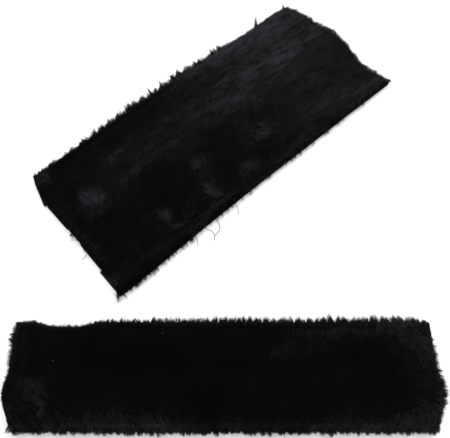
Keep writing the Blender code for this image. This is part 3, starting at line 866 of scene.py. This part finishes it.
def closedStrands(seed):
    rng = np.random.default_rng(seed)
    c, fringe = closedCloth, closedFringe
    area = (-0.2185, 0.2175, 0.0, 0.103)
    spacing = mm / math.sqrt(closedFur["perSqMm"])
    hl, hw = (c["halfLength"] + closedFur["endOver"] - 0.4) * mm, closedFar(0) - 0.0004
    a, n = scatter(*area, spacing, seed)
    rimA, rimN = scatter(*area, spacing, seed + 7)       # the rims are thicker with hair
    atRim = (rimN > closedFar(rimA) - 0.006) | (abs(rimA) > hl - 0.005) | (rimN < 0.004)
    a, n = np.concatenate([a, rimA[atRim]]), np.concatenate([n, rimN[atRim]])
    keep = (abs(a) < hl) & (n < closedFar(a) - 0.0004)
    a, n = a[keep], n[keep]
    count = len(a)
    dice = nearestTuft(a, n, 0.010, seed + 1)[2]
    wa, wn, wisp = nearestTuft(a, n, 0.0026, seed + 2)
    ra, rn, rimDice = nearestTuft(a, n, 0.0060, seed + 3)
    farRim = clamp((n - (closedFar(a) - 0.013)) / 0.013)
    uneven = 0.005 * softNoise(a, 0 * n, 0.009, 43) + 0.006 * (rimDice[2] - 0.5)
    foldRim = clamp((0.012 + uneven - n) / 0.012)
    leftRim, rightRim = clamp((-a - (hl - 0.012)) / 0.012), clamp((a - (hl - 0.012)) / 0.012)
    rim = np.maximum.reduce([farRim, foldRim, leftRim, rightRim])
    # how flat the nap lies and which way; near the fold it is combed down over it
    combed = clamp((0.034 + 1.5 * uneven - n) / 0.032)
    band = along(closedFoldCombAndSheen, a) * (1 + 0.5 * softNoise(a, n, 0.013, 42))
    lie = 0.05 + spots(a, n, closedSheen) * (1 + 0.25 * softNoise(a, n * 0.4, 0.005, 37))
    lie = clamp(lie + 0.05 * softNoise(a, n, 0.02, 35) + 0.05 * softNoise(a, n, 0.007, 36))
    lie = clamp(lie + combed * (0.12 + 0.22 * band + 0.10 * softNoise(a, n * 0.2, 0.008, 39)))
    turn = 0.9 + 0.5 * softNoise(a, n, 0.05, 31) + 0.25 * softNoise(a, n, 0.015, 32)
    turn = turn + spots(a, n, closedTwist) + 0.6 * clamp((n - 0.06) / 0.03)
    turn = towards(turn, -math.pi / 2 + 0.35 * softNoise(a, n, 0.02, 38), combed)
    turn += 0.5 * (dice[0] - 0.5) + 0.4 * (wisp[0] - 0.5) + rng.normal(0, 0.08, count)
    reach = mm * (0.6 + 10.0 * lie) * (0.8 + 0.2 * dice[1] + 0.3 * wisp[1]) * (1 - 0.6 * rim)
    tipA = a + reach * np.cos(turn) + mm * 0.8 * (dice[0] - 0.5)
    tipN = n + reach * np.sin(turn) + mm * 0.8 * (dice[2] - 0.5)
    gather = 0.3 + 0.3 * rng.random(count)
    tipA += (wa - a) * gather
    tipN += (wn - n) * gather
    # fringes: pointed tufts of very different lengths, out to the drawn outline;
    # the rest make an even, shorter edge
    tufted = rng.random(count) < 0.30 + 0.5 * (rimDice[2] > 0.6)
    tuftShare = 0.62 + 0.42 * rimDice[1] ** 1.3 + 0.08 * (wisp[1] - 0.5)
    share = np.where(tufted, tuftShare, 0.52 + 0.28 * dice[1] + 0.14 * rng.random(count))
    share += 0.10 * softNoise(a, n, 0.018, 44)
    ra, rn = np.where(tufted, ra, a), np.where(tufted, rn, n)
    mix = 0.80 + 0.2 * rng.random(count)
    jitter = 0.45 * mm * rng.normal(size=(2, count))
    room = along(fringe["far"], ra) - rn
    sideways = (rimDice[0] - 0.42) * 0.8 * room * share
    k = farRim ** 1.3 * mix
    tipA = towards(tipA, ra + sideways + jitter[0], k)
    tipN = towards(tipN, rn + room * share + jitter[1], k)
    for rimHere, key, sign in ((leftRim, "left", -1), (rightRim, "right", 1)):
        room = abs(along(fringe[key], rn) - ra)
        sideways = (rimDice[0] - 0.45) * 0.8 * room * share
        k = rimHere ** 1.3 * mix * (1 - 0.7 * farRim)
        tipA = towards(tipA, ra + sign * room * share + jitter[0], k)
        tipN = towards(tipN, rn + sideways + jitter[1], k)
    tipN = tipN - mm * foldRim ** 1.4 * (4.0 + 5.5 * rimDice[1] + 2.0 * wisp[1])
    tipN = np.maximum(tipN, -(7.5 + 1.8 * rimDice[1]) * mm)
    tipA += mm * foldRim * 3.0 * (rimDice[0] - 0.5)
    past = mm * (3.6 * rimDice[1] - 1.0 + rng.random(count))
    tipA = np.clip(tipA, along(fringe["left"], tipN) - past, along(fringe["right"], tipN) + past)
    rise = 3.8 - 1.3 * lie + 0.7 * (dice[2] - 0.5) + 0.8 * (wisp[2] - 0.5) + rng.normal(0, 0.25, count)
    rise = mm * rise * (1 - 0.45 * rim)
    base = archZ(n) + c["thick"] * mm
    under = closedUnderTop(a, n)
    hang = 1 - 0.25 * clamp((tipN - hw) / 0.01) - 0.3 * clamp((abs(tipA) - hl) / 0.01)
    hang = hang + 0.35 * (rimDice[2] - 0.5) * rim
    insideN = np.clip(tipN, 0.0, hw)
    tipZ = archZ(insideN) + c["thick"] * mm + closedUnderTop(np.clip(tipA, -hl, hl), insideN) * hang
    # past the fold line the tips lie on the roll
    onRoll = foldZ + np.sqrt(np.maximum((8.6 * mm) ** 2 - tipN ** 2, 0)) - rise - mm * 1.2 * rng.random(count)
    tipZ = np.where(tipN < 0, np.minimum(tipZ, onRoll), tipZ)
    # round the rims hairs grow all the way down the cut side too
    cutRim = np.maximum.reduce([farRim, leftRim, rightRim])
    low = np.clip(cutRim - 0.45, 0, 0.55) / 0.55 * rng.random(count) ** 1.3 * (under + 0.6 * mm)
    root = closedCover.place(corner(a, n), n, np.maximum(base + under - 2.2 * mm - low, base + 0.2 * mm))
    tip = closedCover.place(corner(tipA, tipN), tipN, tipZ + rise - low * 1.2)
    bendZ = base + under + rise * 0.9 - low
    control = closedCover.place(corner(towards(a, tipA, 0.3), n), towards(n, tipN, 0.3), bendZ)
    width = hairWidths(rng, closedFur["width"], count)
    # painted sheen: hairs combed down over the fold are lighter, more where the fold field is high, and so are
    # flat-lying ones
    foldPaintedSheen = 0.03 + 0.13 * band + 0.06 * softNoise(a, 0 * n, 0.006, 40)
    shade = 0.02 + 0.62 * lie ** 1.1 + combed * foldPaintedSheen
    # painted highlight: the fringe hairs along the fold, the long edge and the ends are lighter
    shade = shade + 0.08 * foldRim + 0.10 * farRim + 0.16 * np.maximum(leftRim, rightRim)
    shade = shade + 0.05 * softNoise(a, n, 0.006, 34) + 0.10 * (wisp[2] - 0.5)
    shade = hairShades(rng, shade, 0.05)
    return [root, control, tip, width, shade], (lie > 0.5) | (rim > 0.25), tipN < 0.0005


strands, bent, hanging = closedStrands(41)
for kind, part in (("bent", bent & ~hanging), ("straight", ~bent & ~hanging)):
    growInPieces("closed_upper_" + kind + "_fur", "closed_upper", [s[part] for s in strands], kind)
# the ones that hang over the fold go in pieces of their own, fixed in place
growInPieces("closed_fold_hanging_fur", overClosedFold, [s[hanging] for s in strands])
print("closed cover's upper fur grown:", len(bent), "hairs,", int(bent.sum()), "of them lying")


def rollStrands(seed):
    # fur round the outside of the fold
    rng = np.random.default_rng(seed)
    count, radius = roll["hairs"], roll["radius"] * mm
    a = (rng.random(count) * 2 - 1) * closedCloth["halfLength"] * mm
    angle = math.radians(-80) + rng.random(count) ** 0.8 * math.radians(185)
    ta, dice = nearestTuft(a, angle * 0.006, 0.0060, seed + 1)[::2]
    wisp = nearestTuft(a, angle * 0.006, 0.0024, seed + 2)[2]
    n0, z0 = -np.cos(angle), np.sin(angle)
    droop = clamp(z0)
    out = mm * (0.9 + 3.4 * dice[1] ** 1.3 + 1.0 * wisp[1]) * (1 - 0.3 * clamp((abs(a) - 0.12) / 0.08))
    tipA = a + mm * (3.0 * (dice[0] - 0.5) + 1.5 * (wisp[0] - 0.5)) + (ta - a) * 0.45
    tipA += np.sign(a) * mm * 5.0 * dice[2] * clamp((abs(a) - 0.202) / 0.011)
    tipN = n0 * (radius + out) - droop * mm * (3.5 + 3.0 * dice[1])
    tipZ = foldZ + z0 * (radius + out) - mm * (1.5 * droop + 4.0 * clamp(0.9 - abs(z0)))
    root = closedCover.place(corner(a, 0 * a), n0 * (radius - 2 * mm), foldZ + z0 * (radius - 2 * mm))
    tip = closedCover.place(corner(tipA, 0 * a), tipN, np.maximum(tipZ, 0.4 * mm))
    bendA, bendZ = corner((a + tipA) / 2, 0 * a), foldZ + z0 * (radius + out * 0.5)
    control = closedCover.place(bendA, n0 * (radius + out * 0.4), np.maximum(bendZ, 0.4 * mm))
    width = hairWidths(rng, closedFur["width"], count)
    # painted sheen: the roll's hairs are lighter where the upper half's nap lies flat and along the fold field
    sheen = clamp(0.10 + spots(a, 0 * a, closedSheen))
    band = along(closedFoldCombAndSheen, a) * (1 + 0.5 * softNoise(a, 0 * a, 0.013, 42))
    shade = hairShades(rng, 0.07 + 0.17 * band + 0.75 * sheen + 0.18 * (wisp[2] - 0.5), 0.07)
    return [root, control, tip, width, shade]


growInPieces("closed_fold_fur", overClosedFold, rollStrands(61))


def rimStrands(seed):
    # the lower half's pile shows only where it is squeezed out round the rim
    rng = np.random.default_rng(seed)
    hl, hw = closedCloth["halfLength"] * mm, closedCloth["half"] * mm
    count = closedFur["rimHairs"]
    run = rng.random(count) * (2 * hl + 2 * hw)
    inset = 0.001 + rng.random(count) ** 1.5 * 0.008
    # run goes along the long edge, then the left end, then the right one
    sides = [run < 2 * hl, run < 2 * hl + hw]
    a = np.select(sides, [run - hl, -hl + inset], hl - inset)
    n = np.select(sides, [hw - inset, run - 2 * hl], run - 2 * hl - hw)
    outA, outN = np.select(sides, [0.0, -1.0], 1.0), np.select(sides, [1.0, 0.0], 0.0)
    ta, tn, dice = nearestTuft(a, n, 0.0065, seed + 1)
    wisp = nearestTuft(a, n, 0.0028, seed + 2)[2]
    length = mm * (4.0 + 5.0 * dice[1] + 1.5 * wisp[1] + rng.normal(0, 0.4, count))
    length = length * (1 - 0.5 * clamp(spots(a, n, closedBald)))
    sideways = 0.7 * (dice[0] - 0.5) + 0.3 * (wisp[0] - 0.5)
    tipA = a + length * (outA * 0.9 + sideways * abs(outN)) + (ta - a) * 0.4 * abs(outN)
    tipN = n + length * (outN * 0.9 + sideways * abs(outA)) + (tn - n) * 0.4 * abs(outA)
    tipA = np.clip(tipA, along(closedFringe["left"], tipN), along(closedFringe["right"], tipN))
    z0 = mm * (1.0 + 4.8 * rng.random(count))
    z1 = np.maximum(z0 - mm * 1.2 + mm * 3.0 * (dice[2] - 0.4), 0.4 * mm)
    root = closedCover.place(corner(a, n), n, z0)
    tip = closedCover.place(corner(tipA, tipN), tipN, z1)
    control = closedCover.place(corner(towards(a, tipA, 0.45), n), towards(n, tipN, 0.45), z0)
    width = hairWidths(rng, closedFur["width"], count)
    return [root, control, tip, width, hairShades(rng, np.full(count, 0.10), 0.06)]


growInPieces("closed_lower_fur", "closed_lower", rimStrands(51))
print("closed cover's rim grown")


# ---- hook tape and loop tape, sewn along the long edges on the knit side

tape = {"width": 38.0, "length": 427, "base": 0.8, "selvedge": 3.0, "tab": 4.5, "short": 2.0, "every": 2.2}
sewing = {"every": 3.6, "inset": 1.5}


def makeFilament(radius, steps, taper=1.0):
    startFilament(radius)
    for step in steps:
        pull(step)
    bpy.ops.transform.resize(value=(taper, taper, taper))
    return smallModel(bpy.context.object)


def makeStitch():
    # one lockstitch as it shows: a short length of thread that dives in at both ends
    nothingSelected()
    bpy.ops.mesh.primitive_cylinder_add(vertices=6, radius=0.25, depth=2.2, location=(0, 0, 0),
                                        rotation=(0, math.radians(90), 0), end_fill_type="NGON")
    bpy.ops.object.transform_apply(location=True, rotation=True, scale=True)
    bpy.ops.object.mode_set(mode="EDIT")
    mesh = bpy.context.object.data
    for end in (-1, 1):
        bpy.ops.mesh.select_all(action="DESELECT")
        bm = bmesh.from_edit_mesh(mesh)
        for face in bm.faces:
            face.select_set(face.normal.x * end > 0.9)
        bmesh.update_edit_mesh(mesh)
        pull((end * 0.35, 0, -0.15))
        bpy.ops.transform.resize(value=(1, 0.6, 0.6))
    return smallModel(bpy.context.object)


# a hook is a bent filament, cut where it turns down, 0.3 mm thick; a loop is finer and comes down again
hook = makeFilament(0.18, [(0, 0, 0.75), (0.22, 0, 0.38), (0.4, 0, -0.08), (0.12, 0, -0.3)], taper=0.6)
loop = makeFilament(0.13, [(0.1, 0, 0.7), (0.45, 0.1, 0.4), (0.5, 0.1, -0.3), (0.1, 0, -0.7)])
stitch = makeStitch()


def addSeam(name, at, x, z, body, node):
    # stitches lying along x, their tops towards z
    seam = plant(name, stitch, at, x * mm, np.cross(z, x) * mm, z * mm, threadMat)
    belongs(seam, body, "thread", node)


def addTape(label, cover, outline, zBase, up, body, kind):
    # outline(u, v) gives along and across; the field stands on the base, up or down
    part = label + "_tape"

    def baseShape(u, v):
        return cover.place(*outline(u, v), zBase + 0.5 * tape["base"] * mm)

    base = makeSheetPiece(part + "_base", (120, 12), baseShape, tape["base"], wovenMat[cover], 0)
    belongs(base, body, kind + "_tape", part)
    # hooks stand in rows and face both ways, loops are brushed every way
    rng = np.random.default_rng(len(label) + ord(kind[0]))
    fieldWidth = tape["width"] - 2 * tape["selvedge"]
    rows, columns = int(fieldWidth / tape["every"]), int((tape["length"] - 1) / tape["every"])
    u, v = np.meshgrid((np.arange(columns) + 0.5) / columns, (np.arange(rows) + 0.5) / rows)
    u, v = u.ravel(), v.ravel()
    count = u.size
    if kind == "loop":
        u, v = u + rng.normal(0, 0.25 / columns, count), v + rng.normal(0, 0.25 / rows, count)
        yaw = rng.random(count) * 2 * math.pi
    else:
        yaw = (np.arange(count) % 2) * math.pi + rng.normal(0, 0.25, count)
    u = 0.006 + clamp(u) * 0.988
    v = (tape["selvedge"] + clamp(v) * fieldWidth) / tape["width"]
    zFoot = zBase + (tape["base"] * mm if up > 0 else 0)
    x = cover.turn(np.cos(yaw), np.sin(yaw), 0) * mm
    y = cover.turn(-np.sin(yaw), np.cos(yaw), 0) * mm * up
    z = cover.turn(0, 0, np.full(count, up)) * mm
    model, mat = (hook, hookMat) if kind == "hook" else (loop, loopMat)
    field = plant(part + "_field", model, cover.place(*outline(u, v), zFoot), x, y, z, mat)
    belongs(field, body, kind + "_tape")
    # the seam: one line of stitches round the tape, in the selvedge
    du, dv = sewing["inset"] / tape["length"], sewing["inset"] / tape["width"]
    corners = [(du, dv), (1 - du, dv), (1 - du, 1 - dv), (du, 1 - dv), (du, dv)]
    places, ways = [], []
    for (u0, v0), (u1, v1) in zip(corners, corners[1:]):
        run = math.hypot((u1 - u0) * tape["length"], (v1 - v0) * tape["width"])
        steps = max(2, int(run / sewing["every"]))
        t = (np.arange(steps) + 0.5) / steps
        a0, n0 = outline(towards(u0, u1, t), towards(v0, v1, t))
        a1, n1 = outline(towards(u0, u1, t + 0.01), towards(v0, v1, t + 0.01))
        places.append(cover.place(a0, n0, zFoot + up * 0.2 * mm))
        ways.append(cover.turn(a1 - a0, n1 - n0, 0))
    at, x = np.concatenate(places), np.concatenate(ways)
    length = np.linalg.norm(x, axis=1)
    real = length > 1e-7                                 # none where the tape's corner is cut away
    at, x = at[real], x[real] / length[real, None]
    addSeam(part + "_stitches", at, x, np.tile([0.0, 0.0, up], (len(x), 1)), body, part + "_seam")


def tapeAlong(u):
    # the tape runs past the hemmed end and stops short of the raw one
    return (-215 - tape["tab"] + u * (430 + tape["tab"] - tape["short"])) * mm


def openHookOutline(u, v):
    a = tapeAlong(u)
    return a, edge("near", a) + 1.2 * mm + v * tape["width"] * mm


def openLoopOutline(u, v):
    # its tab is cut on a slant at the corner
    n = mm * (93 - tape["width"] + v * tape["width"])
    start = (-215 - tape["tab"]) * mm + clamp((n - 0.058) / 0.037) * 10 * mm
    end = np.minimum(0.213, edge("right", n) - 2 * mm)
    a = start + u * (end - start)
    return a, np.minimum(n, edge("far", a) - 0.8 * mm)


def closedOutline(u, v):
    return np.clip(tapeAlong(u), -0.2145, 0.2145), mm * (93 - tape["width"] + v * tape["width"])


addTape("open_hook", openCover, openHookOutline, 1.2 * mm, -1, "open_near", "hook")
addTape("open_loop", openCover, openLoopOutline, 1.2 * mm, -1, "open_far", "loop")
addTape("closed_loop", closedCover, closedOutline, 7.8 * mm, 1, "closed_lower", "loop")
addTape("closed_hook", closedCover, closedOutline, 11.3 * mm, -1, "closed_upper", "hook")
print("tapes sewn on")


# ---- hems: the cloth turned under at one end and stitched down

hem = {"depth": 14.0, "roll": 3.0, "thick": 1.0, "fromFold": 13.0, "inner": 53.5, "seamAt": 7.0}


def addHem(body, cover, side, height, cloth, under, down, endAt):
    # from the end of the cloth round a small roll and back under it; cloth and under are the two
    # layers' middles in millimetres over height(n)
    def shape(u, v):
        n = side * mm * (hem["fromFold"] + v * (hem["inner"] - hem["fromFold"]))
        zTop, zUnder, end = height(n) + cloth * mm, height(n) + under * mm, endAt(n)
        r = abs(zTop - zUnder) / 2
        s = u * (hem["depth"] + hem["roll"])
        angle = clamp(s / hem["roll"]) * math.pi
        a = np.where(s < hem["roll"], end - r * np.sin(angle), end + np.maximum(s - hem["roll"], 0) * mm)
        z = (zTop + zUnder) / 2 + (zTop - zUnder) / 2 * np.cos(angle)
        return cover.place(a, n, z + 0.06 * mm * softNoise(n, a, 0.01, 19))

    obj = makeSheetPiece(body + "_hem_turned", (26, 30), shape, hem["thick"], knitMat[cover], 0)
    belongs(obj, body, "knit_backing", body + "_hem")
    steps = int((hem["inner"] - hem["fromFold"] - 2) / sewing["every"])
    n = side * mm * (hem["fromFold"] + 1.5 + (np.arange(steps) + 0.5) * sewing["every"])
    slope = (height(n + 0.0005) - height(n - 0.0005)) / 0.001
    x = cover.turn(0, 1, slope)
    x /= np.linalg.norm(x, axis=1, keepdims=True)
    z = np.cross(np.tile(cover.along, (steps, 1)), x) * down
    at = cover.place(endAt(n) + hem["seamAt"] * mm, n, height(n) + under * mm)
    addSeam(body + "_hem_stitches", at + z * (hem["thick"] / 2 + 0.2) * mm, x, z, body, body + "_hem_seam")
    return obj


def level(n):
    return 0 * n


def openEnd(n):
    return edge("left", n)


def closedEnd(n):
    return -closedCloth["halfLength"] * mm + 0 * n


openHems = [addHem("open_near", openCover, -1, level, 2.9, 1.5, -1, openEnd),
            addHem("open_far", openCover, 1, level, 2.9, 1.5, -1, openEnd)]
closedHems = [addHem("closed_lower", closedCover, 1, level, 6.9, 8.3, 1, closedEnd),
              addHem("closed_upper", closedCover, 1, archZ, 0.6, -0.8, -1, closedEnd)]
# each cover is one strip of knit, 188 mm by 444 mm as cut, 14 mm of it turned under
print("hems turned")


# ---- loose threads and lint

def addStray(name, points, cover, thick, body, mat):
    # a thin fibre along listed points: along, across, up in millimetres
    curve = bpy.data.curves.new(name, "CURVE")
    curve.dimensions = "3D"
    curve.bevel_depth = thick / 2 * mm
    curve.bevel_resolution = 1
    curve.use_fill_caps = True
    curve.resolution_u = 6
    spline = curve.splines.new("NURBS")
    spline.points.add(len(points) - 1)
    for p, (a, n, z) in zip(spline.points, points):
        p.co = (*cover.place(a * mm, n * mm, z * mm), 1)
    spline.order_u = 3
    spline.use_endpoint_u = True
    obj = bpy.data.objects.new(name, curve)
    scene.collection.objects.link(obj)
    nothingSelected()
    obj.select_set(True)
    bpy.context.view_layer.objects.active = obj
    bpy.ops.object.convert(target="MESH")
    obj = bpy.context.object
    obj.data.materials.append(mat)
    belongs(obj, body, "thread")


# the two at the hemmed end lie either side of the fold
strayThreads = [
    ("loop", 0.65, [(-80, -86, 6), (-79.5, -92, 3), (-80, -97, 1), (-83, -101.5, 0.6), (-89, -104, 0.6),
                    (-94, -104, 0.6), (-98, -108.5, 0.5)]),
    ("branch", 0.55, [(-97, -87, 6), (-96, -93, 3), (-92.5, -97, 1.2), (-92, -101, 0.7), (-94, -104, 0.7)]),
    ("knot", 0.5, [(-49, -86, 5), (-49, -92, 2.5), (-51, -97.5, 0.8), (-55, -102, 0.5)]),
    ("short", 0.55, [(-110, -87, 5), (-111, -93, 2.5), (-113.5, -98, 1), (-117, -102, 0.6)]),
    ("end", 0.45, [(-213, -27, 5), (-218, -27.5, 3), (-222.5, -29, 1.2), (-226, -28, 0.6)]),
    ("frayed", 0.45, [(-213, 2, 5), (-218, 1, 3), (-221, -2, 1)]),
]
for label, thick, points in strayThreads:
    body = "open_far" if points[0][1] > 0 else "open_near"
    addStray("stray_thread_" + label, points, openCover, thick, body, strayMat)

lintSpecks = [(openCover, "open_far", 205, 62, 13.5), (openCover, "open_near", 12, -28, 14),
              (closedCover, "closed_upper", -62, 86, 27), (closedCover, "closed_upper", -170, 58, 27)]
for i, (cover, body, a, n, z) in enumerate(lintSpecks):
    points = [(a, n, z), (a + 0.5, n + 0.3, z + 0.2), (a + 0.6, n + 0.8, z)]
    addStray("lint_" + str(i + 1), points, cover, 0.35, body, lintMat)
print("threads and lint laid")

triangles = 0
for obj in scene.objects:
    if obj.type == "MESH" and not obj.hide_render:
        obj.data.calc_loop_triangles()
        triangles += len(obj.data.loop_triangles)
print("triangles:", triangles)
